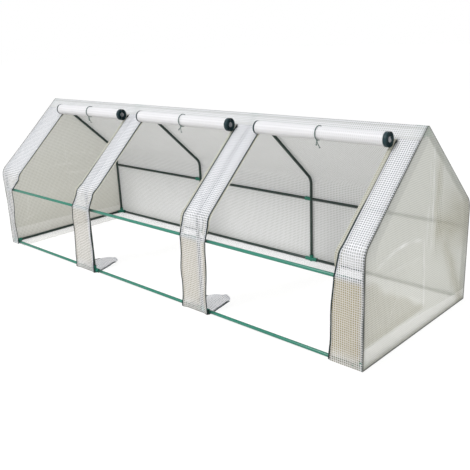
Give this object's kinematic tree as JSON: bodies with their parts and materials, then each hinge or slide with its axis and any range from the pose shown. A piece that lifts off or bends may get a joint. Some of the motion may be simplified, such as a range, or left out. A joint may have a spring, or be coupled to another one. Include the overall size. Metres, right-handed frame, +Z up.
{
  "type": "tunnel greenhouse",
  "caption": "Low house-shaped tunnel greenhouse: tube arches and rails under a clear gridded cover with roll-up front doors.",
  "frame": {"origin": "on the ground, in the middle of the greenhouse's footprint", "axes": "+X along the length, doors facing -Y, +Z up"},
  "size_m": [2.7, 0.9, 0.9],
  "materials": {
    "steel": "dark green coated steel tube",
    "joint_plastic": "green moulded plastic",
    "cover": "translucent white sheet with a reinforcing grid",
    "door": "the same sheet, rolled up in many layers",
    "zip": "dark plastic"
  },
  "bodies": {
    "frame_and_cover": {"arch_1_front_tube": "steel", "arch_1_rear_tube": "steel", "arch_2_front_tube": "steel", "arch_2_rear_tube": "steel", "arch_3_front_tube": "steel", "arch_3_rear_tube": "steel", "arch_4_front_tube": "steel", "arch_4_rear_tube": "steel", "cover_front_strip_1": "cover", "cover_front_strip_2": "cover", "cover_front_strip_3": "cover", "cover_front_strip_4": "cover", "cover_left_gable": "cover", "cover_rear_sheet": "cover", "cover_right_gable": "cover", "front_bottom_rail_1": "steel", "front_bottom_rail_2": "steel", "front_bottom_rail_3": "steel", "front_foot_joint_1": "joint_plastic", "front_foot_joint_2": "joint_plastic", "front_foot_joint_3": "joint_plastic", "front_foot_joint_4": "joint_plastic", "front_mid_joint_1": "joint_plastic", "front_mid_joint_2": "joint_plastic", "front_mid_joint_3": "joint_plastic", "front_mid_joint_4": "joint_plastic", "front_mid_rail_1": "steel", "front_mid_rail_2": "steel", "front_mid_rail_3": "steel", "left_gable_bottom_rail": "steel", "rear_bottom_rail_1": "steel", "rear_bottom_rail_2": "steel", "rear_bottom_rail_3": "steel", "rear_foot_joint_1": "joint_plastic", "rear_foot_joint_2": "joint_plastic", "rear_foot_joint_3": "joint_plastic", "rear_foot_joint_4": "joint_plastic", "rear_mid_joint_1": "joint_plastic", "rear_mid_joint_2": "joint_plastic", "rear_mid_joint_3": "joint_plastic", "rear_mid_joint_4": "joint_plastic", "rear_mid_rail_1": "steel", "rear_mid_rail_2": "steel", "rear_mid_rail_3": "steel", "ridge_joint_1": "joint_plastic", "ridge_joint_2": "joint_plastic", "ridge_joint_3": "joint_plastic", "ridge_joint_4": "joint_plastic", "ridge_pole": "steel", "right_gable_bottom_rail": "steel"},
    "door_1_left_zip_slider": {"door_1_left_zip_slider": "zip"},
    "door_1_right_zip_slider": {"door_1_right_zip_slider": "zip"},
    "door_1_roll": {"door_1_roll": "door"},
    "door_2_left_zip_slider": {"door_2_left_zip_slider": "zip"},
    "door_2_right_zip_slider": {"door_2_right_zip_slider": "zip"},
    "door_2_roll": {"door_2_roll": "door"},
    "door_3_left_zip_slider": {"door_3_left_zip_slider": "zip"},
    "door_3_right_zip_slider": {"door_3_right_zip_slider": "zip"},
    "door_3_roll": {"door_3_roll": "door"}
  },
  "joints": [
    {"name": "door_1_left_zip_slide", "type": "slide", "parent": "frame_and_cover", "child": "door_1_left_zip_slider", "axis": [0, -0.7359, -0.677], "range_m": [0, 0.45]},
    {"name": "door_1_right_zip_slide", "type": "slide", "parent": "frame_and_cover", "child": "door_1_right_zip_slider", "axis": [0, -0.7359, -0.677], "range_m": [0, 0.45]},
    {"name": "door_1_unroll_slide", "type": "slide", "parent": "frame_and_cover", "child": "door_1_roll", "axis": [0, -0.7359, -0.677], "range_m": [0, 0.42]},
    {"name": "door_2_left_zip_slide", "type": "slide", "parent": "frame_and_cover", "child": "door_2_left_zip_slider", "axis": [0, -0.7359, -0.677], "range_m": [0, 0.45]},
    {"name": "door_2_right_zip_slide", "type": "slide", "parent": "frame_and_cover", "child": "door_2_right_zip_slider", "axis": [0, -0.7359, -0.677], "range_m": [0, 0.45]},
    {"name": "door_2_unroll_slide", "type": "slide", "parent": "frame_and_cover", "child": "door_2_roll", "axis": [0, -0.7359, -0.677], "range_m": [0, 0.42]},
    {"name": "door_3_left_zip_slide", "type": "slide", "parent": "frame_and_cover", "child": "door_3_left_zip_slider", "axis": [0, -0.7359, -0.677], "range_m": [0, 0.45]},
    {"name": "door_3_right_zip_slide", "type": "slide", "parent": "frame_and_cover", "child": "door_3_right_zip_slider", "axis": [0, -0.7359, -0.677], "range_m": [0, 0.45]},
    {"name": "door_3_unroll_slide", "type": "slide", "parent": "frame_and_cover", "child": "door_3_roll", "axis": [0, -0.7359, -0.677], "range_m": [0, 0.42]}
  ]
}
